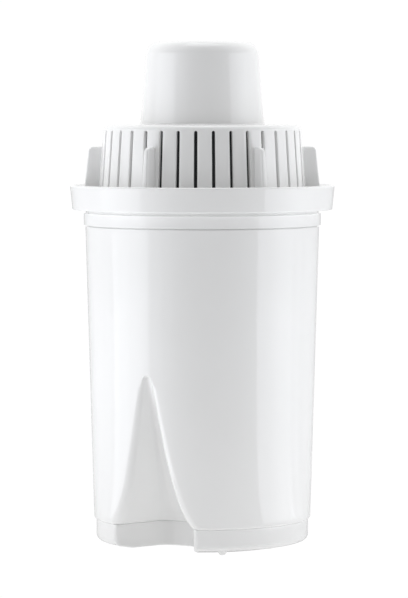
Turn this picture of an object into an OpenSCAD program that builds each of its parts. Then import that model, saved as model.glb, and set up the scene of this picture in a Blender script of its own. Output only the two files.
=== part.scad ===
// Drop-in filter cartridge for a gravity-fed water pitcher: a lid moulding with a hollow knob,
// a slotted inlet basket, six fins and a flared rim, a tapered cup with two key notches,
// a plugged-in outlet base, and inside them two screens and the bed of filter granules.
// +Z is up along the axis. The origin is on the axis at the level that the feet stand on.
// The two key notches face -Y and +Y, and one of the six fins stands over each of them.

/* [Outlet base] */
// How far the feet stand out under the base ring
foot_h = 1.5; // [1:0.1:2]
// Height of the base ring that shows under the cup
ring_h = 5.9; // [5:0.1:9]
// How far the ring steps in from the cup, all round and in the notches
ring_step = 0.6; // [0.3:0.1:1]
// Rounding of the base ring's lower outer edge
ring_edge = 1.6; // [0.5:0.1:2]
// Rounding of the upright corners where the ring meets a notch
ring_corner = 1.3; // [0.5:0.1:1.6]
// How far the outlet floor stands out below the ring's lower edge
dish_drop = 0.8; // [0:0.1:0.9]
// Width of the shallow bevel from the ring's rounded edge to the flat of the outlet floor
dish_bevel = 4.0; // [2:0.1:6]
// Thickness of the slotted outlet floor at the ring's level
base_floor = 1.3; // [1:0.1:2]
// How far the base's spigot reaches up into the cup
base_plug = 5.0; // [3:0.5:8]
// Wall of the base's spigot
plug_wall = 1.2; // [0.8:0.1:1.6]
// Width of the outlet slots
outlet_slot = 0.9; // [0.6:0.1:1.2]
// Angle from one outer outlet slot to the next
outlet_pitch_angle = 7.5; // [6:0.5:10]
// Angle from the notch axis to the nearest outer outlet slot
outlet_start_angle = 37.5; // [36:0.5:45]
// Width of the plain floor between the spigot's wall and the outlet slots
outlet_margin = 3.85; // [3.4:0.05:6]
// Length of the outer outlet slots
outlet_len = 9.5; // [5:0.5:10.5]
// Width of the plain floor between a notch's back wall and the middle slots
middle_margin = 3.5; // [3:0.5:5]
// Length of the short middle slots
middle_len = 5.0; // [3:0.5:5.5]
// Number of short middle slots
middle_count = 12; // [6:2:14]
// How far inside the ring's edge the pointed feet stand
pip_inset = 3.5; // [3.3:0.1:5]
// Angle of the pointed feet from the notch axis
pip_angle = 40.8; // [38:0.2:60]
// Radius of the pointed feet at the base
pip_root = 1.6; // [1:0.1:1.8]
// Radius of the pointed feet at their tips
pip_tip = 0.35; // [0.3:0.05:1]
// How far inside the ring's edge the flat feet stand
pad_inset = 8.1; // [5:0.1:11]
// Angle of the flat feet from the notch axis
pad_angle = 86.2; // [75:0.1:105]
// Radius of the flat feet
pad_size = 1.5; // [1:0.1:2]

/* [Cup] */
// Height of the cup's outside from the base ring to the lid's collar
cup_h = 79.9; // [70:0.5:95]
// Outer radius at the cup's lower edge
cup_r_low = 29.5; // [29.2:0.1:29.9]
// Outer radius of the cup just under the lid's collar
cup_r_top = 31.8; // [31.6:0.1:32.1]
// Thickness of the cup's wall, also round the notches
cup_wall = 1.4; // [1.2:0.1:1.6]
// Rounding of the cup's lower outer edge
cup_edge = 0.7; // [0.2:0.1:0.8]
// Lead-in at the top of the cup's spigot
spigot_edge = 0.3; // [0.1:0.1:0.5]

/* [Key notches] */
// Height of a notch's tip over the cup's lower edge
notch_h = 40.8; // [30:0.5:55]
// Half of a notch's width on the cup's lower edge
notch_half = 10.7; // [8:0.1:11.5]
// Distance of a notch's back wall from the axis at the cup's lower edge
notch_back_r = 12.0; // [11.5:0.1:15]
// Half of the back wall's width at the cup's lower edge
notch_back_half = 4.2; // [3.6:0.1:5]
// Rounding of a notch's inner corners
notch_round = 2.0; // [1:0.1:2.5]
// Radius of a notch's tip
tip_r = 1.2; // [0.8:0.1:2]

/* [Lid collar and rim] */
// How far the collar that laps over the cup stands out past it
collar_step = 0.44; // [0.3:0.02:0.8]
// Height of the collar under the rim
collar_h = 4.2; // [3.5:0.1:7]
// Thickness of the collar's skirt
skirt_t = 0.85; // [0.7:0.05:1]
// How far the rim's lip stands out past the collar
rim_out = 3.76; // [3:0.02:6]
// Height of the rim from its seat to its lip
rim_h = 6.7; // [5:0.1:9]
// How far the rim's outside draws in from the lip to the seat
rim_flare = 0.7; // [0:0.1:1.2]
// Thickness of the rim's upright wall
rim_wall = 1.2; // [1:0.1:1.6]
// Thickness of the trough's floor
trough_floor = 1.3; // [1:0.1:2]
// Rounding of the rim's lower outer edge
rim_edge = 0.8; // [0.2:0.1:1.2]
// Rounding of the rim's lip
lip_edge = 0.4; // [0.2:0.05:0.45]
// Width of the trough's floor from the basket to the rim
trough_w = 5.68; // [5:0.02:8]
// Fillets at the two sides of the trough's floor
trough_fillet = 0.8; // [0.3:0.1:1.5]
// Rounding of the collar's lower edge
collar_edge = 0.2; // [0.1:0.05:0.3]

/* [Inlet basket] */
// Height of the basket's top over the rim's lip
basket_rise = 16.3; // [12:0.1:22]
// Draft of the basket's side in degrees
basket_draft = 4.0; // [2:0.25:4.25]
// Rounding of the basket's top edge
basket_edge = 1.5; // [0.5:0.1:2]
// Thickness of the basket's side
basket_wall = 1.15; // [1:0.05:1.4]
// Number of inlet slots round the basket, a multiple of the fins
slot_count = 36; // [24:12:36]
// Width of an inlet slot
slot_w = 0.95; // [0.6:0.05:1.2]
// Distance from the basket's top to the rounded ends of the slots
slot_down = 1.5; // [1.4:0.1:3]
// Height of the slots' lower ends over the trough's floor
slot_up = 1.0; // [0.5:0.1:3]

/* [Fins] */
// Number of fins
fin_count = 6; // [3:3:6]
// Distance from the basket's top down to the fins' tops
fin_down = 5.9; // [3:0.1:9]
// How far the fins stand out from the basket at their tops
fin_out_top = 3.58; // [2:0.02:4]
// How far the fins stand out from the basket at the trough's floor
fin_out_low = 4.08; // [3:0.02:4.6]
// Thickness of a fin at its top
fin_t_top = 1.1; // [0.8:0.1:1.5]
// Thickness of a fin at the trough's floor
fin_t_low = 2.0; // [1.6:0.1:2.4]
// Rounding of a fin's outer top corner
fin_corner = 0.9; // [0.3:0.1:1.5]

/* [Knob] */
// Height of the knob over the basket's top
knob_h = 22.5; // [15:0.5:30]
// Radius of the knob at its top, before its edge is rounded
knob_r = 15.2; // [13:0.05:16]
// Draft of the knob's side in degrees
knob_draft = 4.4; // [2:0.01:5]
// Rounding of the knob's top edge
knob_edge = 3.7; // [2:0.1:5]
// Fillet at the knob's foot
knob_foot = 0.6; // [0.2:0.1:1.5]
// Thickness of the knob's wall and of the basket's top
cap_wall = 1.3; // [1:0.1:2]
// Fillets inside the basket
inner_fillet = 0.4; // [0.2:0.1:0.8]

/* [Screens and filter bed] */
// Thickness of the screen sleeve behind the inlet slots
sleeve_t = 0.4; // [0.3:0.05:0.8]
// Thickness of the screen on the outlet floor
screen_t = 0.5; // [0.3:0.05:1]

/* [Fits] */
// Clearance where the cup and the base plug into the other mouldings
fit = 0.05; // [0.02:0.01:0.1]
// Clearance round a screen
screen_gap = 0.15; // [0.1:0.05:0.3]
// Clearance of the filter bed from what holds it
bed_gap = 0.3; // [0.2:0.05:0.4]

/* [Hidden] */
$fn = 120;

// Levels, from the feet to the knob's top
z_base = foot_h;
z_dish = z_base - dish_drop;
z_floor = z_base + base_floor;
z_seam = z_base + ring_h;
z_plug = z_seam + base_plug;
z_collar = z_seam + cup_h;
z_seat = z_collar + collar_h;
z_trough = z_seat + trough_floor;
z_lip = z_seat + rim_h;
z_deck = z_lip + basket_rise;
z_top = z_deck + knob_h;
z_tip = z_seam + notch_h;
z_slot_low = z_trough + slot_up;
z_slot_top = z_deck - slot_down;
z_fin = z_deck - fin_down;

// Room by which a cutting shape passes the face that it cuts
over = 1;
// Segments in the arc of a rounded corner
arc_steps = 6;

// Outer radii of the base ring, the collar and the rim's lip
ring_r = cup_r_low - ring_step;
collar_r = cup_r_top + collar_step;
rim_r = collar_r + rim_out;
// Outer radius of the basket at the trough's floor and at its top
basket_foot_r = rim_r - rim_flare - rim_wall - trough_w;
basket_r = basket_out(z_deck);
// Inner radius of the cup at its lower edge and under the collar
bore_r_low = cup_r_low - cup_wall;
bore_r_top = cup_r_top - cup_wall;
// Outer radius of the cup's spigot inside the collar's skirt
spigot_r = collar_r - skirt_t - fit;
// Outer and inner radius of the base's spigot
plug_r = bore_r_low - fit;
tray_r = plug_r - plug_wall;
// How far the spigot's two faces stand off the notch's outside
plug_off = cup_wall + fit;
tray_off = plug_off + plug_wall;
// Inner and outer ends of the outlet slots, outer ones first
outlet_out = tray_r - outlet_margin;
outlet_in = outlet_out - outlet_len;
middle_out = notch_back_r - middle_margin;
middle_in = middle_out - middle_len;
// Radius of the flat under the outlet floor and of the bevel round it
bevel_r = ring_r - ring_edge;
dish_r = bevel_r - dish_bevel;
// Distance of the feet from the axis
pip_r = ring_r - pip_inset;
pad_r = ring_r - pad_inset;
// Outer edge of the fins at the trough's floor and at their tops
fin_r_low = basket_foot_r + fin_out_low;
fin_r_top = basket_out(z_fin) + fin_out_top;
// Slope of a notch's side walls in plan, from its mouth and its back wall
mouth_r = sqrt(cup_r_low * cup_r_low - notch_half * notch_half);
side_slope = (notch_half - notch_back_half) / (mouth_r - notch_back_r);
side_angle = atan(side_slope);
// Distance from the axis to which the notch shapes reach
notch_reach = rim_r;
// Smoothness of the round tip of a notch
tip_fn = 32;

// Cup radius at a height, outside and inside
function cup_r(z) = cup_r_low + (cup_r_top - cup_r_low) * (z - z_seam) / cup_h;
function bore_r(z) = cup_r(z) - cup_wall;
// Basket radius at a height, outside and inside
function basket_out(z) = basket_foot_r - (z - z_trough) * tan(basket_draft);
function basket_in(z) = basket_out(z) - basket_wall;
// Knob radius at a height, outside and inside
function knob_out(z) = knob_r + (z_top - z) * tan(knob_draft);
function knob_in(z) = knob_out(z) - cap_wall;

function unit(v) = v / norm(v);
function turn(a) = a > 180 ? a - 360 : a < -180 ? a + 360 : a;
// The arc that rounds corner b between the lines to a and to c with radius r
function corner(a, b, c, r) =
    r == 0 ? [b] :
    let(
        u = unit(a - b),
        w = unit(c - b),
        half = acos(u * w) / 2,
        run = r / tan(half),
        start = b + u * run,
        end = b + w * run,
        mid = b + unit(u + w) * r / sin(half),
        a0 = atan2(start.y - mid.y, start.x - mid.x),
        sweep = turn(atan2(end.y - mid.y, end.x - mid.x) - a0)
    )
    [for (i = [0:arc_steps]) mid + r * [cos(a0 + sweep * i / arc_steps), sin(a0 + sweep * i / arc_steps)]];
// A closed outline with each corner [x, y, r] rounded by its own radius
function rounded(p) =
    let(n = len(p))
    [for (i = [0:n - 1])
        each corner(
            [p[(i + n - 1) % n].x, p[(i + n - 1) % n].y],
            [p[i].x, p[i].y],
            [p[(i + 1) % n].x, p[(i + 1) % n].y],
            p[i].z)];

// Half of the notch's width at a distance from the axis, with its walls moved out by grow
function notch_at(r, grow) =
    notch_back_half + (r - notch_back_r) * side_slope + grow / cos(side_angle);

// Plan of the -Y notch at the cup's lower edge, grown by a distance
module notch_plan(grow) {
    back = notch_back_r - grow;
    polygon(rounded([
        [-notch_at(notch_reach, grow), -notch_reach, 0],
        [notch_at(notch_reach, grow), -notch_reach, 0],
        [notch_at(back, grow), -back, notch_round + grow],
        [-notch_at(back, grow), -back, notch_round + grow]
    ]));
}

// The notch's space in the cup: its plan drawn up to the rounded tip at the cup's surface
module notch_space(grow) {
    tip_z = z_tip - tip_r;
    hull() {
        translate([0, 0, z_seam - over])
            linear_extrude(over)
                notch_plan(grow);
        for (r = [cup_r(tip_z), notch_reach])
            translate([0, -r, tip_z])
                sphere(tip_r + grow, $fn = tip_fn);
    }
}

// Both notches, from the one that faces -Y
module both() {
    children();
    rotate([0, 0, 180])
        children();
}

// What rounds the upright corner between the ring and a notch's side wall
module ring_corner_cut() {
    wall = ring_corner + ring_step;
    side = notch_at(0, wall) * cos(side_angle);
    out = ring_r - ring_corner;
    // The arc's centre lies at "out" from the axis and one radius inside the notch's wall
    along = sqrt(out * out - side * side);
    centre = [
        side * cos(side_angle) + along * sin(side_angle),
        side * sin(side_angle) - along * cos(side_angle)
    ];
    on_ring = centre * ring_r / out;
    on_wall = centre - ring_corner * [cos(side_angle), sin(side_angle)];
    tip = on_ring + on_wall - centre;
    past = centre + (tip - centre) * 2;
    difference() {
        polygon([centre, on_ring, past, on_wall]);
        translate(centre)
            circle(ring_corner);
    }
}

// Outline of the base ring
module ring_plan() {
    difference() {
        circle(ring_r);
        both() {
            notch_plan(ring_step);
            for (side = [0, 1])
                mirror([side, 0, 0])
                    ring_corner_cut();
        }
    }
}

// Outline of what fits inside the cup's lower end, at a radius and a distance off the notches
module inner_plan(r, off) {
    difference() {
        circle(r);
        both()
            notch_plan(off);
    }
}

// One radial outlet slot
module outlet_slot_cut(angle, r_in, r_out) {
    rotate([0, 0, angle - 90])
        translate([0, 0, z_dish - over])
            linear_extrude(z_floor - z_dish + 2 * over) {
                translate([r_in + outlet_slot / 2, -outlet_slot / 2])
                    square([r_out - r_in - outlet_slot, outlet_slot]);
                for (r = [r_in + outlet_slot / 2, r_out - outlet_slot / 2])
                    translate([r, 0])
                        circle(outlet_slot / 2, $fn = 24);
            }
}

module base() {
    arc = 180 - 2 * outlet_start_angle;
    steps = floor(arc / outlet_pitch_angle);
    first = outlet_start_angle + (arc - steps * outlet_pitch_angle) / 2;
    // Slots nearer than this to a flat foot are left out, half a slot's width past its edge
    pad_clear = asin((pad_size + outlet_slot) / pad_r);
    // The feet are one moulding with the floor and run half way into it
    foot_top = foot_h + base_floor / 2;
    pip_flare = (pip_root - pip_tip) / foot_h;
    color([0.93, 0.93, 0.94]) {
        difference() {
            union() {
                intersection() {
                    translate([0, 0, z_dish])
                        linear_extrude(z_seam - z_dish)
                            ring_plan();
                    rotate_extrude()
                        polygon(rounded([
                            [0, z_dish, 0],
                            [dish_r, z_dish, 0],
                            [bevel_r, z_base, 0],
                            [ring_r, z_base, ring_edge],
                            [ring_r, z_seam, 0],
                            [0, z_seam, 0]
                        ]));
                }
                translate([0, 0, z_floor])
                    linear_extrude(z_plug - z_floor)
                        inner_plan(plug_r, plug_off);
            }
            translate([0, 0, z_floor])
                linear_extrude(z_plug - z_floor + over)
                    inner_plan(tray_r, tray_off);
            for (side = [0, 180], i = [0:steps]) {
                angle = first + i * outlet_pitch_angle;
                if (abs(angle - pad_angle) > pad_clear)
                    outlet_slot_cut(side + angle, outlet_in, outlet_out);
            }
            for (i = [0:middle_count - 1])
                outlet_slot_cut(i * 360 / middle_count, middle_in, middle_out);
        }
        both() {
            rotate([0, 0, pip_angle])
                translate([0, -pip_r, 0])
                    cylinder(h = foot_top, r1 = pip_tip, r2 = pip_tip + pip_flare * foot_top);
            rotate([0, 0, pad_angle])
                translate([0, -pad_r, 0])
                    cylinder(h = foot_top, r = pad_size);
        }
    }
}

module cup() {
    z_rest = z_seat - fit;
    color([0.96, 0.96, 0.97])
        difference() {
            rotate_extrude()
                polygon(rounded([
                    [0, z_seam, 0],
                    [cup_r_low, z_seam, cup_edge],
                    [cup_r_top, z_collar, 0],
                    [spigot_r, z_collar, 0],
                    [spigot_r, z_rest, spigot_edge],
                    [0, z_rest, 0]
                ]));
            difference() {
                rotate_extrude()
                    polygon([
                        [0, z_seam - over],
                        [bore_r_low, z_seam - over],
                        [bore_r_low, z_seam],
                        [bore_r_top, z_collar],
                        [bore_r_top, z_rest + over],
                        [0, z_rest + over]
                    ]);
                both()
                    notch_space(cup_wall);
            }
            both()
                notch_space(0);
        }
}

// Section of the lid, outside from the knob's top to the collar and back up the inside
function lid_section() = rounded([
    [0, z_top, 0],
    [knob_r, z_top, knob_edge],
    [knob_out(z_deck), z_deck, knob_foot],
    [basket_r, z_deck, basket_edge],
    [basket_foot_r, z_trough, trough_fillet],
    [rim_r - rim_flare - rim_wall, z_trough, trough_fillet],
    [rim_r - rim_wall, z_lip, lip_edge],
    [rim_r, z_lip, lip_edge],
    [rim_r - rim_flare, z_seat, rim_edge],
    [collar_r, z_seat, 0],
    [collar_r, z_collar, collar_edge],
    [collar_r - skirt_t, z_collar, 0],
    [collar_r - skirt_t, z_seat, 0],
    [basket_in(z_seat), z_seat, inner_fillet],
    [basket_in(z_deck - cap_wall), z_deck - cap_wall, inner_fillet],
    [knob_in(z_deck - cap_wall), z_deck - cap_wall, inner_fillet],
    [knob_r - cap_wall + cap_wall * tan(knob_draft), z_top - cap_wall, knob_edge - cap_wall],
    [0, z_top - cap_wall, 0]
]);

// One inlet slot, cut outwards through the basket's side at an angle from -Y
module inlet_slot(angle) {
    half = slot_w / 2;
    rotate([0, 0, angle])
        translate([0, -basket_in(z_deck) + 2 * over, 0])
            rotate([90, 0, 0])
                linear_extrude(basket_out(z_slot_low) - basket_in(z_deck) + 4 * over) {
                    translate([-half, z_slot_low])
                        square([slot_w, z_slot_top - half - z_slot_low]);
                    translate([0, z_slot_top - half])
                        circle(half, $fn = 24);
                }
}

// One drafted fin that stands on the trough's floor against the basket, towards -Y
module fin() {
    inner = basket_foot_r - basket_wall / 2;
    inner_top = basket_out(z_fin) - basket_wall / 2;
    sink = trough_floor / 2;
    intersection() {
        rotate([90, 0, -90])
            translate([0, 0, -fin_t_low])
                linear_extrude(2 * fin_t_low)
                    polygon(rounded([
                        [inner, z_trough - sink, 0],
                        [fin_r_low, z_trough - sink, 0],
                        [fin_r_low, z_trough, 0],
                        [fin_r_top, z_fin, fin_corner],
                        [inner_top, z_fin, 0]
                    ]));
        rotate([90, 0, 0])
            linear_extrude(fin_r_low + over)
                polygon([
                    [-fin_t_low / 2, z_trough - sink],
                    [fin_t_low / 2, z_trough - sink],
                    [fin_t_low / 2, z_trough],
                    [fin_t_top / 2, z_fin],
                    [-fin_t_top / 2, z_fin],
                    [-fin_t_low / 2, z_trough]
                ]);
    }
}

module lid() {
    pitch = 360 / slot_count;
    color([0.98, 0.98, 0.98]) {
        difference() {
            rotate_extrude()
                polygon(lid_section());
            for (i = [0:slot_count - 1])
                inlet_slot((i + 0.5) * pitch);
        }
        for (i = [0:fin_count - 1])
            rotate([0, 0, i * 360 / fin_count])
                fin();
    }
}

// Section of a band that follows the basket's inside at a distance
function basket_band(gap, z0, z1) = [
    [basket_in(z0) - gap, z0],
    [basket_in(z1) - gap, z1]
];

module upper_screen() {
    z0 = z_seat;
    z1 = z_slot_top;
    outer = basket_band(screen_gap, z0, z1);
    inner = basket_band(screen_gap + sleeve_t, z0, z1);
    color([0.25, 0.26, 0.27])
        rotate_extrude()
            polygon([outer[0], outer[1], inner[1], inner[0]]);
}

module lower_screen() {
    color([0.85, 0.86, 0.86])
        translate([0, 0, z_floor])
            linear_extrude(screen_t)
                inner_plan(tray_r - screen_gap, tray_off + screen_gap);
}

module media() {
    z0 = z_floor + screen_t;
    z_wide = z_plug + bed_gap;
    z_neck = z_seat - bed_gap;
    inset = screen_gap + sleeve_t + bed_gap;
    neck = basket_band(inset, z_neck, z_slot_top);
    color([0.22, 0.22, 0.22])
        difference() {
            rotate_extrude()
                polygon([
                    [0, z0],
                    [tray_r - bed_gap, z0],
                    [tray_r - bed_gap, z_wide],
                    [bore_r(z_wide) - bed_gap, z_wide],
                    [bore_r_top - bed_gap, z_collar],
                    [bore_r_top - bed_gap, z_neck],
                    neck[0],
                    neck[1],
                    [0, z_slot_top]
                ]);
            both() {
                notch_space(cup_wall + bed_gap);
                translate([0, 0, z0 - over])
                    linear_extrude(z_wide - z0 + over)
                        notch_plan(tray_off + bed_gap);
            }
        }
}

lid();
cup();
base();
upper_screen();
lower_screen();
media();
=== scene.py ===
import math
import bmesh
import bpy
import numpy as np
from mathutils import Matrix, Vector


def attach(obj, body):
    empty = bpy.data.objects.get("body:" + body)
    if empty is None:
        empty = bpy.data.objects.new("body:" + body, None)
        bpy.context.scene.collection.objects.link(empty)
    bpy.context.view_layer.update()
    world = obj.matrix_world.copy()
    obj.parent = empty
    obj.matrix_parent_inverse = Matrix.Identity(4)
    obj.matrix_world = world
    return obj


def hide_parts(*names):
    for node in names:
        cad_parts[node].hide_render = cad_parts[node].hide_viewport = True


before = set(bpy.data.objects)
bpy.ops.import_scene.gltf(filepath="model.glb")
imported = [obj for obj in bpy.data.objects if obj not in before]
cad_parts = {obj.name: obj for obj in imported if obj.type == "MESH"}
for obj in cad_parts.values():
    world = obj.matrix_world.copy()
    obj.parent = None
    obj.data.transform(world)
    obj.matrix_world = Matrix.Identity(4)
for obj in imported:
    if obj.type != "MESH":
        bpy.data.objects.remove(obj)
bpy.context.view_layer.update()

# The object's lengths are in millimetres until its meshes are made, and the stage's are in metres
MM = 0.001
# Edges that turn by more than this are shaded as sharp, and points nearer than this are merged
SHARP_ANGLE, MERGE = math.radians(42), 2e-7

# The camera, at the photograph's viewing angle: its azimuth from the front notch, its place in
# metres, and its lens and shift in pixels of the picture
CAM_AZIMUTH = math.radians(28.7)
CAM_DISTANCE = 0.8986
CAM_HEIGHT = 0.1194
AIM_HEIGHT = 0.06705
IMAGE_HEIGHT = 598
FOCAL_PX = 3303.0
SHIFT_PX = 1.7
SENSOR_MM = 24.0

# Softboxes as azimuth from the camera's, spread as seen from the object, both in degrees, and
# radiance. Two groups at the object's sides leave its middle a pale grey.
SOFTBOXES = (
    (-34, 12, 0.2), (-47, 14, 0.45), (-57, 6, 1.62), (-66, 12, 1.82), (-78.5, 13, 1.5), (-91.5, 13, 1.2),
    (-105, 14, 0.15), (59, 8, 1.35), (69, 12, 1.36), (81, 12, 1.45), (93, 12, 1.12), (106, 14, 0.4))
BOX_COLOUR = (0.965, 0.985, 1.03)
BOX_DISTANCE, BOX_HEIGHT, BOX_TALL = 0.7, 0.15, 0.3
# Bright cards on the table: nearest and farthest distance from the object, and lift off the table
CARD_NEAR, CARD_FAR, CARD_LIFT = 0.075, 0.7, 0.0002
# The light over the object: radiance, height and side
TOP_GLOW, TOP_HEIGHT, TOP_SIZE = 1.5, 0.9, 0.5
# The fill around the object: brightness behind it, from the camera's side, and more from above
FILL_BEHIND, FILL_FRONT, FILL_ABOVE = 1.02, 0.09, 0.42
# The table: half its width, and its tone
FLOOR_HALF, FLOOR_TONE = 6.0, 0.6
# The white sheet on the table: how far it comes forward, half its width there and at the back,
# lift off the table, its own brightness and that of the light it gives
SHEET_FRONT, SHEET_NEAR_HALF, SHEET_FAR_HALF, SHEET_LIFT = 0.104, 0.055, 0.6, 0.0003
SHEET_GLOW, BOUNCE_GLOW = 1.02, 0.48

# Levels: underside and ring of the base, seam of ring and cup, the cup's shoulder, underside of the
# rim, floor of the trough, the rim's lip, deck of the basket and top of the knob
Z_DISH, Z_BASE, Z_SEAM, Z_COLLAR, Z_SEAT = 0.7, 1.5, 7.4, 87.3, 91.5
Z_TROUGH, Z_LIP, Z_DECK, Z_TOP = 92.8, 98.2, 114.5, 137.0

# Cup: radii at the seam and at the shoulder, wall and rounding of the lower edge
CUP_R_LOW, CUP_R_TOP, CUP_WALL, CUP_EDGE = 29.5, 31.8, 1.4, 0.6
# The spigot that the lid's skirt laps over: its step in, and the gap above it
SPIGOT_STEP, FIT = 0.46, 0.05

# Key notches: slope of the side walls; place and radius of the inner corner's core at the seam; and
# level of the core at the tip, with the tip's radius
NOTCH_SLOPE = math.radians(23.2)
CORE_X, CORE_Y, CORE_R = 1.4, 16.25, 4.25
Z_CORE, TIP_R = 47.0, 1.2
# How far the mouth flares at the seam and the height over which that fades; how far the walls draw
# in above it, and the power that puts the most of it low
NOTCH_FLARE, FLARE_LENGTH, NOTCH_PINCH, PINCH_POWER = 1.2, 2.6, 1.4, 0.7
# Rounding of the lips at the seam and at the tip
LIP_LOW, LIP_TIP = 2.4, 1.6
# Above the tip's centre: the least share of the notch's width, and the height over which the
# columns spread out again, with the most that they do
TIP_SHARE, TIP_SPREAD, SPREAD_MOST = 0.3, 12.0, 1.5

# Outlet base: ring, spigot and inside as distances in from the cup's outline, and how much wider
# the ring's notch is
RING_IN, SPIGOT_IN, TRAY_IN, RING_WIDEN = 0.6, 1.45, 2.65, 0.75
# Roundings: the ring's lower edge on the round and in the notch, its upper edge, its corners and
# the spigot's edges
RING_EDGE, RING_NOTCH_EDGE, RING_TOP_EDGE, RING_CORNER, PLUG_EDGE = 1.6, 0.5, 0.2, 1.9, 0.2
# Levels of the floor inside and of the spigot's top; radii between which the underside rises
Z_FLOOR, Z_PLUG, DISH_R, BEVEL_R = 2.8, 12.4, 23.3, 27.3
# Columns of half an outline along the back wall, inner corner, side wall, outer edge and the round
CUP_COLUMNS, BASE_COLUMNS = (5, 9, 12, 8, 26), (4, 6, 4, 7)
# Outlet slots, the middle ones and the outer ones: inner and outer ends, and pitch in degrees
MIDDLE_IN, MIDDLE_OUT, MIDDLE_PITCH = 3.5, 8.5, 30.0
OUTLET_IN, OUTLET_OUT, OUTLET_PITCH = 13.5, 23.0, 7.5
# Half width of a slot, columns to an outer pitch, and the radius where the columns' turn begins
OUTLET_HALF, PER_PITCH, TWIST_R = 0.45, 6, 9.3
# Where the outer slots start from the notch's axis, and the ones a flat foot leaves out
OUTLET_FIRST, OUTLET_LAST, OUTLET_SKIPPED = 37.5, 142.5, (82.5, 90.0)
# Feet: radius at the tip and at the root, place from the axis and angle from the notch's axis
PIP = (0.35, 2.14, 25.4, 40.8)
PAD = (1.5, 1.5, 20.8, 86.2)
# Level inside the floor that the feet run up to, and rounding of their tips
FOOT_TOP, FOOT_EDGE = 2.15, 0.2

# Lid: relief under the rim, and the open joint between the lid's skirt and the cup's shoulder
RELIEF_IN, RELIEF_TALL, JOINT = 0.6, 0.8, 0.35
# Radii of the collar and of the rim's lip, the rim's lean and wall, and the skirt's wall
COLLAR_R, RIM_R, RIM_FLARE, RIM_WALL, SKIRT = 32.24, 36.0, 0.7, 1.2, 0.85
# Basket: radius at its foot and slope; walls of the basket, and of the deck and knob
BASKET_FOOT_R, BASKET_WALL, CAP_WALL = 28.42, 1.15, 1.3
BASKET_SLOPE = math.tan(math.radians(4.0))
# Knob: radius at its top, slope and rounding of its top
KNOB_R, KNOB_SLOPE, KNOB_EDGE = 15.2, math.tan(math.radians(4.4)), 3.7
# Inlet slots: how many, half width, lower and upper ends; and their rounded edges as how far each
# column beside a slot is out from it and how far it sinks in
SLOT_COUNT, SLOT_HALF, SLOT_LOW, SLOT_TOP = 36, 0.475, 93.8, 113.0
SLOT_EDGE_OUT, SLOT_EDGE_SINK = (0.0, 0.06, 0.16), (0.11, 0.03, 0.0)
# How far from a slot's middle the first column of the land between two slots is
LAND_START = 1.6

# Fins: how many, level of their tops, and how far their feet sink into the trough's floor
FIN_COUNT, FIN_Z, FIN_SINK = 6, 108.6, 0.6
# Reach from the axis and thickness, at the foot and at the top; roundings of the top and sides
FIN_R_LOW, FIN_R_TOP, FIN_T_LOW, FIN_T_TOP = 32.5, 30.9, 2.1, 1.2
FIN_CORNER, FIN_ROUND = 1.3, 0.45

# White of the mouldings, where it is lightest and darkest, and its roughness
WHITE_LIGHT, WHITE_DARK, GLOSS = (0.937, 0.937, 0.932), (0.922, 0.922, 0.916), 0.05
# Gauze: thread and gap, pitch and radius of the sleeve in millimetres
GAUZE_GAP, GAUZE_THREAD, GAUZE_PITCH, GAUZE_R = (0.006, 0.006, 0.007), (0.05, 0.05, 0.055), 0.3, 27.0
FLEECE_DARK, FLEECE_LIGHT = (0.62, 0.62, 0.6), (0.85, 0.85, 0.83)
# Granules: size in millimetres, carbon and resin
GRAIN, CARBON, RESIN = 0.9, (0.012, 0.012, 0.013), (0.45, 0.36, 0.22)


def new_mesh(name, points, faces, nodes):
    """Makes one closed mesh of points in millimetres, merges what coincides, turns its faces outwards
    and lets it stand for the named nodes on the one body."""
    mesh = bpy.data.meshes.new(name)
    mesh.from_pydata((points * MM).tolist(), [], faces.tolist())
    work = bmesh.new()
    work.from_mesh(mesh)
    bmesh.ops.delete(work, geom=[v for v in work.verts if not v.link_faces], context="VERTS")
    bmesh.ops.remove_doubles(work, verts=work.verts, dist=MERGE)
    bmesh.ops.recalc_face_normals(work, faces=work.faces)
    work.to_mesh(mesh)
    work.free()
    mesh.shade_smooth()
    mesh.set_sharp_from_angle(angle=SHARP_ANGLE)
    piece = bpy.data.objects.new(name, mesh)
    bpy.context.collection.objects.link(piece)
    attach(piece, "root")
    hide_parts(*nodes)
    return piece


def quads(rows, cols, close_rows=False, keep=None):
    """Faces of a grid whose columns run round and close; keep is a mask of the cells that are solid."""
    last = rows if close_rows else rows - 1
    r, c = np.meshgrid(np.arange(last), np.arange(cols), indexing="ij")
    down, right = (r + 1) % rows, (c + 1) % cols
    faces = np.stack([r * cols + c, down * cols + c, down * cols + right, r * cols + right], -1)
    return faces.reshape(-1, 4) if keep is None else faces[keep]


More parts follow.
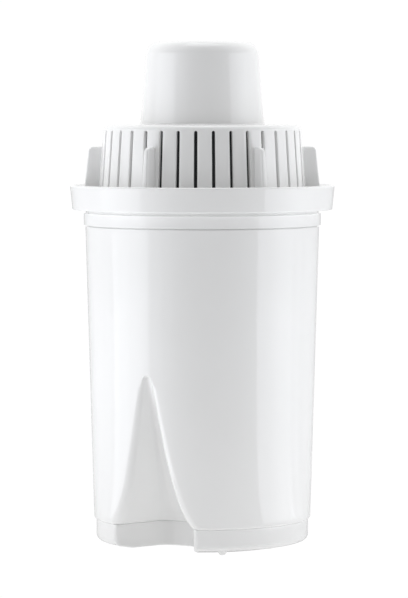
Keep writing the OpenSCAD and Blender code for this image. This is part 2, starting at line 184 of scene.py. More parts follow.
def rounded_line(corners, arc=8, near=0.12):
    """A line through corners (a, b, radius) with each corner turned into an arc of its radius, as
    points (a, b): centre plus radius times the turning direction. A point is added close to each
    end of an arc where there is room for it, so that the shading of a straight run stays flat."""
    p = np.array([c[:2] for c in corners], float)
    legs = np.diff(p, axis=0)
    length = np.linalg.norm(legs, axis=1)
    legs = legs / length[:, None]
    r = np.maximum([c[2] for c in corners], 0.02)[1:-1]
    half = np.arccos(np.clip(-(legs[:-1] * legs[1:]).sum(1), -1, 1)) / 2
    run = np.concatenate([[0.0], r / np.tan(half), [0.0]])
    step = np.clip((length - run[:-1] - run[1:]) / 3, 0, near)
    out = [p[0]]
    for i in range(1, len(p) - 1):
        u, w = -legs[i - 1], legs[i]
        mid = p[i] + (u + w) / np.linalg.norm(u + w) * r[i - 1] / math.sin(half[i - 1])
        a, b = p[i] + u * run[i] - mid, p[i] + w * run[i] - mid
        start = math.atan2(a[1], a[0])
        sweep = (math.atan2(b[1], b[0]) - start + math.pi) % (2 * math.pi) - math.pi
        turn = start + sweep * np.linspace(0, 1, arc + 1)[:, None]
        out += [p[i] + u * (run[i] + step[i - 1])]
        out += list(mid + r[i - 1] * np.concatenate([np.cos(turn), np.sin(turn)], 1))
        out += [p[i] + w * (run[i] + step[i])]
    return np.array(out + [p[-1]])


# --- the cup and its two key notches

def cup_radius(z):
    """Outer radius of the tapered cup at a level, which stays the same above the shoulder."""
    return CUP_R_LOW + (CUP_R_TOP - CUP_R_LOW) * (np.minimum(z, Z_COLLAR) - Z_SEAM) / (Z_COLLAR - Z_SEAM)


def notch_columns(counts):
    """Stretch number and place within it for a half outline: back wall, inner corner, side wall,
    outer edge and the round of the cup."""
    part = np.repeat(np.arange(5), counts)
    place = np.concatenate([np.arange(n) / n for n in counts])
    return np.append(part, 4), np.append(place, 1.0)


def half_outline(part, place, z, inset, radius, edge, widen):
    """Half of a level section through the notched wall, as (across, outwards) from the notch's axis.
    Part and place are what notch_columns gives; radius is a function of the level.
    The inner corner is an arc about a core that moves in a straight line from the seam to the tip;
    the side wall is the tangent to that arc with a fixed slope; an arc of radius edge joins it to
    the circle; inset moves everything into the wall. Above the tip's centre the depth shrinks as
    the height of a half circle does."""
    level = np.minimum(z, Z_CORE)
    rise = (level - Z_SEAM) / (Z_CORE - Z_SEAM)
    tip_out = cup_radius(Z_CORE)
    core_x = np.maximum(CORE_X * (1 - rise) + np.maximum(widen, 0), 0.05)
    core_y = CORE_Y * (1 - rise) + tip_out * rise
    core_r = CORE_R * (1 - rise) + TIP_R * rise + np.minimum(widen, 0) + inset
    outer = radius(level) - inset
    edge = np.maximum(edge - inset, 0.04)
    sin, cos = math.sin(NOTCH_SLOPE), math.cos(NOTCH_SLOPE)
    off = core_x * cos - core_y * sin + core_r
    along_core = core_x * sin + core_y * cos
    edge_off = off + edge
    edge_along = np.sqrt((outer - edge) ** 2 - edge_off ** 2)
    edge_along = np.maximum(edge_along, along_core + 0.01)
    edge_x = edge_off * cos + edge_along * sin
    edge_y = edge_along * cos - edge_off * sin
    turn = -math.pi / 2 + place * (math.pi / 2 - NOTCH_SLOPE)
    run = along_core + place * (edge_along - along_core)
    first = math.pi - NOTCH_SLOPE
    swing = first + place * (np.arctan2(edge_y, edge_x) - first)
    x = np.choose(part, [
        place * core_x,
        core_x + core_r * np.cos(turn),
        off * cos + run * sin,
        edge_x + edge * np.cos(swing),
        outer * edge_x / (outer - edge)])
    y = np.choose(part, [
        core_y - core_r,
        core_y + core_r * np.sin(turn),
        run * cos - off * sin,
        edge_y + edge * np.sin(swing),
        outer * edge_y / (outer - edge)])
    depth = np.maximum(np.sqrt(np.maximum(outer ** 2 - x ** 2, 0)) - y, 0)
    over = np.maximum(z - Z_CORE, 0)
    shrink = np.sqrt(np.maximum(1 - (over / (TIP_R + inset)) ** 2, 0))
    least = TIP_SHARE ** 2 * (over > 0)
    spread = np.sqrt((shrink ** 2 + least) / (1 + least))
    spread = spread + np.clip((over - TIP_R - inset) / TIP_SPREAD, 0, SPREAD_MOST)
    here = radius(z) - inset
    x = x * spread
    y = np.sqrt(np.maximum(here ** 2 - x ** 2, 0)) - depth * shrink
    begin = np.arcsin(np.clip(x / here, -1, 1))
    bow = begin + place * (math.pi / 2 - begin)
    on_round = part == 4
    return np.where(on_round, here * np.sin(bow), x), np.where(on_round, here * np.cos(bow), y)


def whole_outline(across, outwards):
    """Four mirrored halves joined into one outline that closes, the first notch facing -Y."""
    right = np.stack([across, -outwards], -1)
    left = np.stack([-across, -outwards], -1)[:, ::-1]
    front = np.concatenate([left[:, :-1], right], 1)
    return np.concatenate([front[:, :-1], -front[:, :-1]], 1)


def build_cup():
    """Closed wall of the cup: rows run up the outside from the rounded lower edge, over the spigot and
    down the inside; columns follow the notched outline."""
    swing = np.linspace(0, math.pi / 2, 7)
    low = np.stack([CUP_EDGE * (1 - np.sin(swing)), Z_SEAM + CUP_EDGE * (1 - np.cos(swing))], 1)
    heights = np.concatenate([
        np.linspace(Z_SEAM + CUP_EDGE + 0.1, 14, 17),
        np.linspace(15, 43.5, 22),
        np.linspace(44, Z_CORE + TIP_R + 0.6, 28),
        np.linspace(50, Z_COLLAR - JOINT - 0.1, 16)])
    outside = np.stack([0 * heights, heights], 1)
    neck = np.array([
        [0, Z_COLLAR - JOINT], [SPIGOT_STEP, Z_COLLAR - JOINT], [SPIGOT_STEP, Z_SEAT - FIT],
        [CUP_WALL, Z_SEAT - FIT], [CUP_WALL, Z_COLLAR]])
    inner = np.concatenate([
        np.linspace(80, 51, 8), np.linspace(50, 44, 18), np.linspace(42, 12, 14),
        np.linspace(11, Z_SEAM, 7)])
    inside = np.stack([0 * inner + CUP_WALL, inner], 1)
    rows = np.concatenate([low, outside, neck, inside])
    part, place = notch_columns(CUP_COLUMNS)
    inset, z = rows[:, :1], rows[:, 1:]
    rise = np.clip((z - Z_SEAM) / (Z_CORE - Z_SEAM), 0, 1)
    outer_side = np.clip((CUP_WALL - inset) / (CUP_WALL - CUP_EDGE), 0, 1)
    flare = NOTCH_FLARE * outer_side * np.exp(-(z - Z_SEAM) / FLARE_LENGTH)
    widen = flare - NOTCH_PINCH * np.sin(math.pi * rise ** PINCH_POWER)
    edge = LIP_LOW + (LIP_TIP - LIP_LOW) * rise ** 2
    across, outwards = half_outline(part[None], place[None], z, inset, cup_radius, edge, widen)
    plan = whole_outline(across, outwards)
    count = plan.shape[1]
    level = np.repeat(z, count, 1)[..., None]
    points = np.concatenate([plan, level], -1).reshape(-1, 3)
    return new_mesh("cup_wall", points, quads(len(rows), count, True), ["cup"])


# --- the outlet base

def slot_span(start, end):
    """Distances from the axis along a slot with half-round ends, and its half width at each."""
    swing = np.linspace(0.15, math.pi / 2, 6)
    way = OUTLET_HALF * (1 - np.cos(swing))
    half = OUTLET_HALF * np.sin(swing)
    return np.concatenate([start + way, (end - way)[::-1]]), np.concatenate([half, half[::-1]])


def pitch_angles(pitch, per, edge):
    """Angles of a quadrant's columns in radians: in each pitch one column at the slot's middle, one at
    either edge of it, which the array edge gives for each row, and the rest evenly over the land."""
    column = np.arange(round(90 * per / pitch) + 1)
    turn = column % per
    near = np.minimum(turn, per - turn)
    land = edge + (math.radians(pitch) / 2 - edge) * (near - 1) / (per / 2 - 1)
    off = np.where(near == 0, 0, land) * np.where(turn > per / 2, -1, 1)
    return math.radians(pitch) * ((column + per // 2 - (turn == per / 2)) // per) + off


def base_outline(inset, z, widen):
    """Quadrant of a level section of the base: the notched outline up to the ring's corner, then the
    circle, whose columns meet the outlet slots' from half a pitch before the first of them."""
    part = np.append(np.repeat(np.arange(4), BASE_COLUMNS), 4)
    place = np.append(np.concatenate([np.arange(n) / n for n in BASE_COLUMNS]), 0.0)
    fixed = pitch_angles(OUTLET_PITCH, PER_PITCH, np.array([[OUTLET_HALF / OUTLET_OUT]]))[0]
    joint = round((OUTLET_FIRST / OUTLET_PITCH - 0.5) * PER_PITCH)
    inset, widen = inset + 0 * fixed, widen + 0 * fixed
    z = z + 0 * fixed
    first = len(part)
    x, y = half_outline(part[None], place[None], z[:, :first], inset[:, :first],
                        lambda level: CUP_R_LOW + 0 * level, RING_CORNER, widen[:, :first])
    begin = np.arctan2(x[:, -1:], y[:, -1:])
    blend = np.arange(1, joint - first + 2) / (joint - first + 1)
    bow = np.concatenate([begin + (fixed[joint] - begin) * blend, fixed[joint + 1:] + 0 * begin], 1)
    here = CUP_R_LOW - inset[:, first:]
    return np.concatenate([x, here * np.sin(bow)], 1), np.concatenate([y, here * np.cos(bow)], 1)


def floor_face(bound_x, bound_y):
    """Rows of one side of the outlet floor from the axis to near its outline, as quadrant arrays
    (across, outwards): the middle slots' columns turn into the outer ones' on the land between
    them, and towards a notch the rows draw in with the outline."""
    mid_r, mid_half = slot_span(MIDDLE_IN, MIDDLE_OUT)
    out_r, out_half = slot_span(OUTLET_IN, OUTLET_OUT)
    per = round(MIDDLE_PITCH / OUTLET_PITCH) * PER_PITCH
    r = np.concatenate([[0, MIDDLE_IN * 0.8], mid_r])[:, None]
    half = np.concatenate([mid_half[:1], mid_half[:1], mid_half])[:, None]
    turn = pitch_angles(MIDDLE_PITCH, per, half / np.maximum(r, MIDDLE_IN))
    inner_x, inner_y = r * np.sin(turn), r * np.cos(turn)
    r = np.concatenate([[TWIST_R], out_r, [DISH_R]])[:, None]
    half = np.concatenate([out_half[:1], out_half, out_half[-1:]])[:, None]
    turn = pitch_angles(OUTLET_PITCH, PER_PITCH, half / r)
    joint = round((OUTLET_FIRST / OUTLET_PITCH - 0.5) * PER_PITCH)
    column = np.arange(len(bound_x))
    # The wall of a notch runs nearly towards the axis, so its columns start beyond the angle it is at
    ends = np.cumsum(BASE_COLUMNS)
    back, corner = np.arctan2(bound_x, bound_y)[ends[:2]]
    rest = turn[0, joint] - corner
    knots = [0, back, corner + 0.05 * rest, corner + 0.35 * rest, corner + 0.65 * rest, turn[0, joint]]
    start = np.where(column < joint, np.interp(column, [0, *ends, joint], knots), turn[0])
    start_x, start_y = TWIST_R * np.sin(start), TWIST_R * np.cos(start)
    way = np.minimum((DISH_R - TWIST_R) / (np.hypot(bound_x, bound_y) - TWIST_R), 0.985)
    way = way * (r - TWIST_R) / (DISH_R - TWIST_R)
    outer_x = np.where(column < joint, start_x + (bound_x - start_x) * way, r * np.sin(turn))
    outer_y = np.where(column < joint, start_y + (bound_y - start_y) * way, r * np.cos(turn))
    return np.concatenate([inner_x, outer_x]), np.concatenate([inner_y, outer_y])


def foot_body(tip, root, place, angle):
    """A foot as a surface of revolution about its own axis, with a rounded lower edge."""
    line = rounded_line([(0, 0, 0), (tip, 0, FOOT_EDGE), (root, FOOT_TOP, 0), (0, FOOT_TOP, 0)], 5)
    turn = np.linspace(0, 2 * math.pi, 28, endpoint=False)
    x = line[:, :1] * np.cos(turn) + place * math.sin(math.radians(angle))
    y = line[:, :1] * np.sin(turn) - place * math.cos(math.radians(angle))
    points = np.stack([x, y, line[:, 1:] + 0 * turn], -1)
    return points.reshape(-1, 3), quads(len(line), len(turn))


def underside(x, y):
    """Level of the base's underside: flat in the middle and out at the ring, and a cone between."""
    way = np.clip((np.hypot(x, y) - DISH_R) / (BEVEL_R - DISH_R), 0, 1)
    return Z_DISH + (Z_BASE - Z_DISH) * way


def base_body():
    """The base as one closed grid: rows run from the axis out under the floor, up the ring, in to the
    spigot, over it and back to the axis on the floor; the slots' cells are left open and walled."""
    swing = np.linspace(0, math.pi / 2, 7)[:, None]
    column = np.arange(90 / OUTLET_PITCH * PER_PITCH + 1)
    past_wall = np.clip((column - sum(BASE_COLUMNS[:3])) / BASE_COLUMNS[3], 0, 1)
    round_r = RING_NOTCH_EDGE + (RING_EDGE - RING_NOTCH_EDGE) * past_wall
    inset = RING_IN + round_r * (1 - np.sin(swing))
    rise = round_r * (1 - np.cos(swing))
    step = np.linspace(0, math.pi / 2, 4)[:, None]
    upper = np.array([[RING_IN, Z_BASE + RING_EDGE + 0.15], [RING_IN, Z_SEAM - RING_TOP_EDGE - 0.1]])
    ring_top = np.concatenate([
        RING_IN + RING_TOP_EDGE * (1 - np.cos(step)), Z_SEAM - RING_TOP_EDGE * (1 - np.sin(step))], 1)
    spigot = np.array([
        [SPIGOT_IN, Z_SEAM], [SPIGOT_IN, Z_PLUG - PLUG_EDGE], [SPIGOT_IN + PLUG_EDGE, Z_PLUG],
        [TRAY_IN - PLUG_EDGE, Z_PLUG], [TRAY_IN, Z_PLUG - PLUG_EDGE], [TRAY_IN, Z_FLOOR]])
    plain = np.concatenate([upper, ring_top, spigot])
    inset = np.concatenate([inset, plain[:, :1] + 0 * column])
    widen = RING_WIDEN * (inset < SPIGOT_IN) * np.ones_like(inset)
    widen[:len(swing)] = RING_WIDEN
    x, y = base_outline(inset, Z_SEAM + 0 * inset, widen)
    z = np.concatenate([underside(x, y)[:len(swing)] + rise, plain[:, 1:] + 0 * column])
    z[len(swing)] = z[len(swing) - 1] + 0.15
    low_x, low_y = floor_face(x[0], y[0])
    top_x, top_y = floor_face(x[-1], y[-1])
    low_z = underside(low_x, low_y)
    across = np.concatenate([low_x, x, top_x[::-1]])
    outwards = np.concatenate([low_y, y, top_y[::-1]])
    level = np.concatenate([low_z, z, 0 * top_x + Z_FLOOR])
    plan = whole_outline(across, outwards)
    quadrant = np.concatenate([level[:, ::-1][:, :-1], level[:, :-1]], 1)
    points = np.concatenate([plan, np.concatenate([quadrant, quadrant], 1)[..., None]], -1)
    rows, cols = plan.shape[:2]
    keep = np.ones((rows - 1, cols), bool)
    span = len(slot_span(0, 1)[0])
    outer = [a + half_turn for half_turn in (0, 180)
             for a in np.arange(OUTLET_FIRST, OUTLET_LAST + 1, OUTLET_PITCH) if a not in OUTLET_SKIPPED]
    slots = [(a, 2) for a in np.arange(0, 360, MIDDLE_PITCH)] + [(a, 3 + span) for a in outer]
    walls = []
    for angle, first in slots:
        middle = round((angle + 90) / OUTLET_PITCH * PER_PITCH) % cols
        before, after = (middle - 1) % cols, (middle + 1) % cols
        low = np.arange(first, first + span)
        top = rows - 1 - low
        for cell in (before, middle):
            keep[low[:-1], cell] = False
            keep[top[1:], cell] = False
        for edge in (before, after):
            walls.append(np.stack([low[:-1] * cols + edge, low[1:] * cols + edge,
                                   top[1:] * cols + edge, top[:-1] * cols + edge], -1))
        for end in (0, -1):
            for a, b in ((before, middle), (middle, after)):
                walls.append(np.array([[low[end] * cols + a, low[end] * cols + b,
                                        top[end] * cols + b, top[end] * cols + a]]))
    return points.reshape(-1, 3), np.concatenate([quads(rows, cols, keep=keep)] + walls)


def join_bodies(parts):
    """Points and faces of several bodies as one."""
    start = np.cumsum([0] + [len(points) for points, faces in parts[:-1]])
    joined = [faces + first for (points, faces), first in zip(parts, start)]
    return np.concatenate([points for points, faces in parts]), np.concatenate(joined)


def build_base():
    """The base's body with two pointed and two flat feet, which run into its floor."""
    tip, root, place, angle = PIP
    pips = [foot_body(tip, root, place, angle + half_turn) for half_turn in (0, 180)]
    tip, root, place, angle = PAD
    pads = [foot_body(tip, root, place, angle + half_turn) for half_turn in (0, 180)]
    points, faces = join_bodies([base_body()] + pips + pads)
    return new_mesh("outlet_base", points, faces, ["base"])


# --- the lid: knob, slotted basket, trough, rim, collar and fins in one moulding

def basket_radius(z):
    """Outer radius of the tapered basket at a level."""
    return BASKET_FOOT_R - (z - Z_TROUGH) * BASKET_SLOPE


def slot_levels():
    """Levels of a slot's edge and half its width there: straight sides and a half-round upper end."""
    swing = np.linspace(0, math.pi / 2 - 0.1, 8)
    centre = SLOT_TOP - SLOT_HALF
    straight = np.linspace(SLOT_LOW + 2, centre - 2, 8)
    z = np.concatenate([[SLOT_LOW], straight, centre + SLOT_HALF * np.sin(swing)])
    half = np.concatenate([np.full(9, SLOT_HALF), SLOT_HALF * np.cos(swing)])
    return z, half


def lid_rows():
    """The lid's section as rows (radius, level, half slot width, kind) from the knob's top round to
    the inside of the knob; kind is 1 on the slotted outside of the basket and 2 on its inside."""
    foot = KNOB_R + (Z_TOP - Z_DECK) * KNOB_SLOPE
    upper = rounded_line([
        (0, Z_TOP, 0), (KNOB_R, Z_TOP, KNOB_EDGE), (foot, Z_DECK, 0.6),
        (basket_radius(Z_DECK), Z_DECK, 1.4), (basket_radius(SLOT_TOP + 0.02), SLOT_TOP + 0.02, 0)], 12)
    z, half = slot_levels()
    outside = np.stack([basket_radius(z), z, half, 0 * z + 1], 1)[::-1]
    lower = rounded_line([
        (basket_radius(SLOT_LOW - 0.05), SLOT_LOW - 0.05, 0),
        (BASKET_FOOT_R, Z_TROUGH, 0.7),
        (RIM_R - RIM_FLARE - RIM_WALL, Z_TROUGH, 0.8),
        (RIM_R - RIM_WALL, Z_LIP, 0.4), (RIM_R, Z_LIP, 0.45),
        (RIM_R - RIM_FLARE, Z_SEAT, 0.35), (COLLAR_R - RELIEF_IN, Z_SEAT, 0.1),
        (COLLAR_R - RELIEF_IN, Z_SEAT - RELIEF_TALL, 0.1), (COLLAR_R, Z_SEAT - RELIEF_TALL - 0.1, 0.1),
        (COLLAR_R, Z_COLLAR, 0.12), (COLLAR_R - SKIRT, Z_COLLAR, 0.1),
        (COLLAR_R - SKIRT, Z_SEAT, 0.1),
        (basket_radius(Z_SEAT) - BASKET_WALL, Z_SEAT, 0.4),
        (basket_radius(SLOT_LOW - 0.05) - BASKET_WALL, SLOT_LOW - 0.05, 0)], 8)
    inside = np.stack([basket_radius(z) - BASKET_WALL, z, half, 0 * z + 2], 1)
    under = Z_DECK - CAP_WALL
    top = rounded_line([
        (basket_radius(SLOT_TOP + 0.02) - BASKET_WALL, SLOT_TOP + 0.02, 0),
        (basket_radius(under) - BASKET_WALL, under, 0.08),
        (KNOB_R + (Z_TOP - under) * KNOB_SLOPE - CAP_WALL, under, 0.4),
        (KNOB_R - CAP_WALL, Z_TOP - CAP_WALL, KNOB_EDGE - CAP_WALL), (0, Z_TOP - CAP_WALL, 0)], 6)
    plain = [np.concatenate([p, np.full((len(p), 1), SLOT_HALF), np.zeros((len(p), 1))], 1)
             for p in (upper, lower, top)]
    return np.concatenate([plain[0], outside, plain[1], inside, plain[2]])


def lid_body():
    """Surface of revolution of the lid's section. Each period of the slots has columns at the slot's
    two edges, on the small rounding beside them and across the land; on the slotted rows the edge
    columns follow the slot's width, and the cells between them are left open and walled."""
    rows = lid_rows()
    radius, z, half, kind = (rows[:, i][:, None] for i in range(4))
    period = 2 * math.pi / SLOT_COUNT
    drop, out = np.array(SLOT_EDGE_SINK), np.array(SLOT_EDGE_OUT)
    scale = basket_radius(Z_LIP)
    beside = (half + out) / scale
    land = np.array([LAND_START, period * scale / 2]) / scale * np.ones_like(half)
    turn = np.concatenate([beside, land, period - beside[:, ::-1]], 1)
    turn[:, 4] = period / 2
    turn[:, 3] = (beside[:, 2] + period / 2) / 2
    turn = np.insert(turn, 5, period - turn[:, 3], 1)
    sink = np.concatenate([drop, [0, 0, 0], drop[::-1]]) * (kind == 1)
    per = turn.shape[1]
    first = period / 2 + np.arange(SLOT_COUNT) * period
    angle = (first[None, :, None] + turn[:, None, :]).reshape(len(rows), -1)
    reach = np.maximum(radius - np.tile(sink, (1, SLOT_COUNT)), 0)
    points = np.stack([reach * np.sin(angle), -reach * np.cos(angle), z + 0 * angle], -1)
    cols = per * SLOT_COUNT
    keep = np.ones((len(rows) - 1, cols), bool)
    open_row = (kind[:-1, 0] > 0) & (kind[1:, 0] == kind[:-1, 0])
    keep[np.ix_(open_row, np.arange(per - 1, cols, per))] = False
    faces = [quads(len(rows), cols, keep=keep)]
    outer = np.flatnonzero(kind[:, 0] == 1)[::-1]
    inner = np.flatnonzero(kind[:, 0] == 2)
    left = np.arange(per - 1, cols, per)
    right = (left + 1) % cols
    for edge in (left, right):
        faces.append(np.stack([
            outer[:-1, None] * cols + edge, outer[1:, None] * cols + edge,
            inner[1:, None] * cols + edge, inner[:-1, None] * cols + edge], -1).reshape(-1, 4))
    for end in (0, -1):
        faces.append(np.stack([
            outer[end] * cols + left, outer[end] * cols + right,
            inner[end] * cols + right, inner[end] * cols + left], -1))
    return points.reshape(-1, 3), np.concatenate(faces)


def fin_body(turn):
    """One drafted fin: rows go up it and columns follow a U with two rounded corners from root to
    root. Near its top the thickness draws in by a quarter circle and the outer edge by a larger one,
    and the first and last rows close on the fin's middle plane."""
    swing = np.linspace(0, math.pi / 2, 8)
    straight = np.linspace(Z_TROUGH - FIN_SINK, FIN_Z - FIN_CORNER, 8)
    crest = FIN_Z - FIN_CORNER + FIN_CORNER * np.sin(swing[1:])
    z = np.concatenate([straight[:1], straight, crest, [FIN_Z]])
    rise = (z - Z_TROUGH) / (FIN_Z - Z_TROUGH)
    up = np.clip((z - FIN_Z + FIN_CORNER) / FIN_CORNER, 0, 1)
    near = np.clip((z - FIN_Z + FIN_ROUND) / FIN_ROUND, 0, 1)
    outer = FIN_R_LOW + (FIN_R_TOP - FIN_R_LOW) * rise - FIN_CORNER * (1 - np.sqrt(1 - up ** 2))
    half = (FIN_T_LOW + (FIN_T_TOP - FIN_T_LOW) * rise) / 2 - FIN_ROUND * (1 - np.sqrt(1 - near ** 2))
    half = np.maximum(half, 0.1)
    bend = np.linspace(0, math.pi / 2, 6)
    root = basket_radius(z) - BASKET_WALL / 2
    corner = np.minimum(FIN_ROUND, half * 0.8)[:, None]
    flat = np.linspace(0, 1, 5)[:-1]
    run = (root[:, None] + (outer[:, None] - corner - root[:, None]) * flat)
    arc_y = outer[:, None] - corner + corner * np.sin(bend)
    arc_x = half[:, None] - corner + corner * np.cos(bend)
    y = np.concatenate([run, arc_y], 1)
    x = np.concatenate([half[:, None] + 0 * run, arc_x], 1)
    y = np.concatenate([y, y[:, ::-1]], 1)
    x = np.concatenate([x, -x[:, ::-1]], 1)
    x[0] = 0
    x[-1] = 0
    sin, cos = math.sin(turn), math.cos(turn)
    level = np.repeat(z[:, None], x.shape[1], 1)
    points = np.stack([x * cos + y * sin, x * sin - y * cos, level], -1)
    return points.reshape(-1, 3), quads(*x.shape)


def build_lid():
    """The lid's revolved and slotted body with its fins, which run into its wall."""
    fins = [fin_body(i * 2 * math.pi / FIN_COUNT) for i in range(FIN_COUNT)]
    points, faces = join_bodies([lid_body()] + fins)
    return new_mesh("lid_moulding", points, faces, ["lid"])


# --- materials

def material(name):
    """A new material with its nodes, links and shader."""
    made = bpy.data.materials.new(name)
    made.use_nodes = True
    return made, made.node_tree.nodes, made.node_tree.links, made.node_tree.nodes["Principled BSDF"]


def add(nodes, kind, **values):
    """A new node with the given settings and input values; an underscore stands for a space."""
    node = nodes.new(kind)
    for key, value in values.items():
        if hasattr(node, key):
            setattr(node, key, value)
        else:
            node.inputs[key.replace("_", " ")].default_value = value
    return node


def ramp_of(nodes, links, value, low, high, start=0.0, end=1.0):
    """A colour that goes from low to high as a value goes from start to end."""
    ramp = add(nodes, "ShaderNodeValToRGB")
    ramp.color_ramp.elements[0].position, ramp.color_ramp.elements[0].color = start, (*low, 1)
    ramp.color_ramp.elements[1].position, ramp.color_ramp.elements[1].color = end, (*high, 1)
    links.new(value, ramp.inputs["Fac"])
    return ramp.outputs["Color"]


def white_plastic(name, light, dark, rough):
    """Glossy moulded plastic: a faint uneven tone some 25 mm across, gloss that varies by 0.03 over
    6 mm, and a very fine skin of 0.7 mm."""
    made, nodes, links, shader = material(name)
    place = add(nodes, "ShaderNodeTexCoord")
    tone = add(nodes, "ShaderNodeTexNoise", Scale=40.0, Detail=3.0)
    gloss = add(nodes, "ShaderNodeTexNoise", Scale=160.0, Detail=4.0)
    span = add(nodes, "ShaderNodeMapRange", To_Min=rough - 0.03, To_Max=rough + 0.03)
    skin = add(nodes, "ShaderNodeTexNoise", Scale=1500.0, Detail=2.0)
    bump = add(nodes, "ShaderNodeBump", Strength=0.02, Distance=0.0001)
    for node in (tone, gloss, skin):
        links.new(place.outputs["Object"], node.inputs["Vector"])
    tint = ramp_of(nodes, links, tone.outputs["Fac"], dark, light, 0.3, 0.7)
    links.new(tint, shader.inputs["Base Color"])
    links.new(gloss.outputs["Fac"], span.inputs["Value"])
    links.new(span.outputs["Result"], shader.inputs["Roughness"])
    links.new(skin.outputs["Fac"], bump.inputs["Height"])
    links.new(bump.outputs["Normal"], shader.inputs["Normal"])
    shader.inputs["IOR"].default_value = 1.55
    return made


def finish_matt(nodes, links, shader, height, tint, rough, strength, distance):
    """Feeds a height into a bump and a colour into the base colour of a matt surface."""
    bump = add(nodes, "ShaderNodeBump", Strength=strength, Distance=distance)
    links.new(height, bump.inputs["Height"])
    links.new(bump.outputs["Normal"], shader.inputs["Normal"])
    links.new(tint, shader.inputs["Base Color"])
    shader.inputs["Roughness"].default_value = rough


def woven_screen(name, low, high, pitch, radius):
    """Fine dark gauze: a whole number of threads that run up the sleeve and threads that run round
    it. Each set is a sine of the place, and the one that stands higher is seen."""
    made, nodes, links, shader = material(name)
    place = add(nodes, "ShaderNodeTexCoord")
    split = add(nodes, "ShaderNodeSeparateXYZ")
    links.new(place.outputs["Object"], split.inputs[0])
    turn = add(nodes, "ShaderNodeMath", operation="ARCTAN2")
    links.new(split.outputs["X"], turn.inputs[0])
    links.new(split.outputs["Y"], turn.inputs[1])
    waves = []
    threads = round(2 * math.pi * radius / pitch)
    for source, per in ((turn.outputs[0], threads), (split.outputs["Z"], 2 * math.pi / (pitch * MM))):
        scaled = add(nodes, "ShaderNodeMath", operation="MULTIPLY")
        scaled.inputs[1].default_value = per
        links.new(source, scaled.inputs[0])
        wave = add(nodes, "ShaderNodeMath", operation="SINE")
        links.new(scaled.outputs[0], wave.inputs[0])
        waves.append(wave.outputs[0])
    upper = add(nodes, "ShaderNodeMath", operation="MAXIMUM")
    for wave, socket in zip(waves, upper.inputs):
        links.new(wave, socket)
    tint = ramp_of(nodes, links, upper.outputs[0], low, high, 0.2, 0.95)
    finish_matt(nodes, links, shader, upper.outputs[0], tint, 0.7, 0.6, 0.0001)
    return made


def fleece(name, low, high):
    """Pale pressed fleece: short fibres from a stretched noise over a cloudy tone."""
    made, nodes, links, shader = material(name)
    place = add(nodes, "ShaderNodeTexCoord")
    fibre = add(nodes, "ShaderNodeTexNoise", Scale=1400.0, Detail=5.0, Distortion=2.5)
    links.new(place.outputs["Object"], fibre.inputs["Vector"])
    tint = ramp_of(nodes, links, fibre.outputs["Fac"], low, high, 0.35, 0.65)
    finish_matt(nodes, links, shader, fibre.outputs["Fac"], tint, 0.95, 0.5, 0.0002)
    return made


def granules(name, grain, dark, pale):
    """Packed granules: rounded cells, most of them black carbon and some pale resin beads."""
    made, nodes, links, shader = material(name)
    place = add(nodes, "ShaderNodeTexCoord")
    cells = add(nodes, "ShaderNodeTexVoronoi", Scale=1 / (grain * MM))
    links.new(place.outputs["Object"], cells.inputs["Vector"])
    pick = add(nodes, "ShaderNodeSeparateColor")
    links.new(cells.outputs["Color"], pick.inputs[0])
    tint = ramp_of(nodes, links, pick.outputs[0], dark, pale, 0.7, 0.9)
    up = add(nodes, "ShaderNodeMath", operation="SUBTRACT")
    up.inputs[0].default_value = 1.0
    links.new(cells.outputs["Distance"], up.inputs[1])
    finish_matt(nodes, links, shader, up.outputs[0], tint, 0.6, 1.0, 0.0004)
    return made


def paint(target, made):
    """Gives a piece one material in all its slots."""
    target.data.materials.clear()
    target.data.materials.append(made)


# --- stage

def aim(thing, point):
    """Turns a camera or light to face a point."""
    thing.rotation_euler = (Vector(point) - thing.location).to_track_quat("-Z", "Y").to_euler()


def around(azimuth, distance, height):
    """A point at an azimuth from the camera's, to the right of it where positive."""
    turn = CAM_AZIMUTH + math.radians(azimuth)
    return distance * math.sin(turn), -distance * math.cos(turn), height


def set_camera():
    """The camera, level across, whose lens and shift give the photograph's frame."""
    data = bpy.data.cameras.new("camera")
    camera = bpy.data.objects.new("camera", data)
    bpy.context.collection.objects.link(camera)
    camera.location = around(0, CAM_DISTANCE, CAM_HEIGHT)
    aim(camera, (0, 0, AIM_HEIGHT))
    data.sensor_fit = "VERTICAL"
    data.sensor_height = SENSOR_MM
    data.lens = FOCAL_PX / IMAGE_HEIGHT * SENSOR_MM
    data.shift_x = SHIFT_PX / IMAGE_HEIGHT
    bpy.context.scene.camera = camera


def area_light(name, width, tall, glow, spot, point):
    """A rectangular soft light at a spot that faces a point; glow is its radiance."""
    data = bpy.data.lights.new(name, "AREA")
    data.shape = "RECTANGLE"
    data.size, data.size_y = width, tall
    data.energy = glow * math.pi * width * tall
    data.color = BOX_COLOUR
    light = bpy.data.objects.new(name, data)
    bpy.context.collection.objects.link(light)
    light.location = spot
    aim(light, point)
    light.visible_camera = False


def softbox(name, azimuth, spread, glow):
    """An upright soft light that faces the object over an angle seen from it."""
    width = 2 * BOX_DISTANCE * math.tan(math.radians(spread / 2))
    spot = around(azimuth, BOX_DISTANCE, BOX_HEIGHT)
    area_light(name, width, BOX_TALL, glow, spot, (0, 0, BOX_HEIGHT))


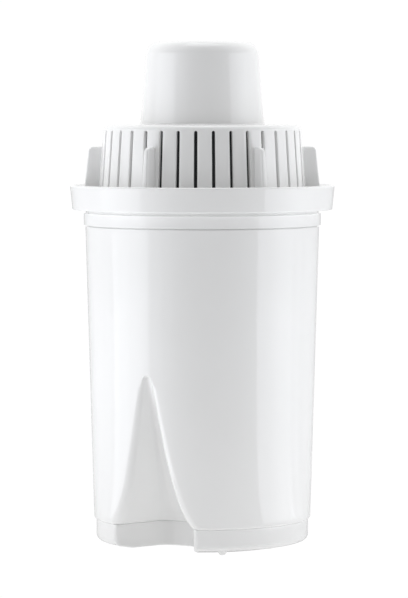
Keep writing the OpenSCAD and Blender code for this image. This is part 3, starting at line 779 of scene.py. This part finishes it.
def set_world(behind, front, above):
    """Studio fill by direction: bright behind the object, dimmer from the camera's side, and a
    ceiling light on top of both."""
    world = bpy.data.worlds.new("studio")
    bpy.context.scene.world = world
    world.use_nodes = True
    nodes, links = world.node_tree.nodes, world.node_tree.links
    place = add(nodes, "ShaderNodeTexCoord")
    along = add(nodes, "ShaderNodeVectorMath", operation="DOT_PRODUCT")
    along.inputs[1].default_value = around(0, 1.0, 0.0)
    span = add(nodes, "ShaderNodeMapRange", interpolation_type="SMOOTHSTEP",
               From_Min=-0.6, From_Max=0.7, To_Min=behind, To_Max=front)
    split = add(nodes, "ShaderNodeSeparateXYZ")
    ceiling = add(nodes, "ShaderNodeMapRange", interpolation_type="SMOOTHSTEP",
                  From_Min=0.2, From_Max=0.8, To_Min=0.0, To_Max=above)
    total = add(nodes, "ShaderNodeMath", operation="ADD")
    links.new(place.outputs["Generated"], along.inputs[0])
    links.new(along.outputs["Value"], span.inputs["Value"])
    links.new(place.outputs["Generated"], split.inputs[0])
    links.new(split.outputs["Z"], ceiling.inputs["Value"])
    links.new(span.outputs["Result"], total.inputs[0])
    links.new(ceiling.outputs["Result"], total.inputs[1])
    nodes["Background"].inputs["Color"].default_value = (1, 1, 1, 1)
    links.new(total.outputs["Value"], nodes["Background"].inputs["Strength"])


def glow_material(name, glow, tone=0.0, colour=(1, 1, 1)):
    """A matt surface of the stage that gives its own even light."""
    made, _, _, shader = material(name)
    shader.inputs["Base Color"].default_value = (tone, tone, tone, 1)
    shader.inputs["Roughness"].default_value = 0.9
    shader.inputs["Specular IOR Level"].default_value = 0.0
    shader.inputs["Emission Color"].default_value = (*colour, 1)
    shader.inputs["Emission Strength"].default_value = glow
    return made


def stage_sheet(name, points, made):
    """One flat face of the stage."""
    mesh = bpy.data.meshes.new(name)
    mesh.from_pydata(points, [], [tuple(range(len(points)))])
    sheet = bpy.data.objects.new(name, mesh)
    bpy.context.collection.objects.link(sheet)
    paint(sheet, made)
    return sheet


def in_view(across, front):
    """A point of the stage given by its distance across the picture and towards the camera."""
    sin, cos = math.sin(CAM_AZIMUTH), math.cos(CAM_AZIMUTH)
    return across * cos + front * sin, across * sin - front * cos


def set_floor(glow, bounce):
    """A wide pale table, and on it a bright white sheet that runs back from in front of the object
    and fills the picture behind it. The sheet is only seen: the light that comes up from there is
    that of a dimmer card of the same outline, so that its strength is set on its own."""
    far = FLOOR_HALF
    points = [in_view(*spot) + (0.0,) for spot in ((-far, far), (far, far), (far, -far), (-far, -far))]
    stage_sheet("floor", points, glow_material("floor", 0.0, FLOOR_TONE))
    spots = [in_view(-SHEET_NEAR_HALF, SHEET_FRONT), in_view(SHEET_NEAR_HALF, SHEET_FRONT),
             in_view(SHEET_FAR_HALF, -far), in_view(-SHEET_FAR_HALF, -far)]
    card = stage_sheet("bounce", [spot + (SHEET_LIFT / 3,) for spot in spots],
                       glow_material("bounce", bounce, FLOOR_TONE))
    card.visible_glossy = False
    card.visible_shadow = False
    sheet = stage_sheet("sheet", [spot + (SHEET_LIFT,) for spot in spots], glow_material("sheet", glow))
    sheet.visible_diffuse = False
    sheet.visible_glossy = False
    sheet.visible_shadow = False


def set_card(name, azimuth, spread, glow):
    """A bright card on the table at the foot of a softbox, under the white sheet: a sector between
    two distances from the object, so that the softbox's reflection runs on down the cup."""
    turns = np.linspace(azimuth - spread / 2, azimuth + spread / 2, 9)
    points = [around(turn, CARD_NEAR, CARD_LIFT) for turn in turns]
    points += [around(turn, CARD_FAR, CARD_LIFT) for turn in turns[::-1]]
    stage_sheet(name, points, glow_material(name, glow, FLOOR_TONE, BOX_COLOUR))


def set_lights():
    """The light over the object, and the softboxes with their cards."""
    area_light("overhead", TOP_SIZE, TOP_SIZE, TOP_GLOW, (0, 0, TOP_HEIGHT), (0, 0, 0))
    for number, (azimuth, spread, glow) in enumerate(SOFTBOXES):
        softbox("softbox_%d" % number, azimuth, spread, glow)
        set_card("card_%d" % number, azimuth, spread, glow)


set_camera()
set_world(FILL_BEHIND, FILL_FRONT, FILL_ABOVE)
set_floor(SHEET_GLOW, BOUNCE_GLOW)
set_lights()

cup, lid, base = build_cup(), build_lid(), build_base()
shell = white_plastic("white_moulding", WHITE_LIGHT, WHITE_DARK, GLOSS)
for moulding in (cup, lid, base):
    paint(moulding, shell)
screen, pad, bed = (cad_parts[name] for name in ("upper_screen", "lower_screen", "media"))
paint(screen, woven_screen("gauze", GAUZE_GAP, GAUZE_THREAD, GAUZE_PITCH, GAUZE_R))
paint(pad, fleece("fleece", FLEECE_DARK, FLEECE_LIGHT))
paint(bed, granules("granules", GRAIN, CARBON, RESIN))

bpy.context.scene.view_settings.view_transform = "Standard"
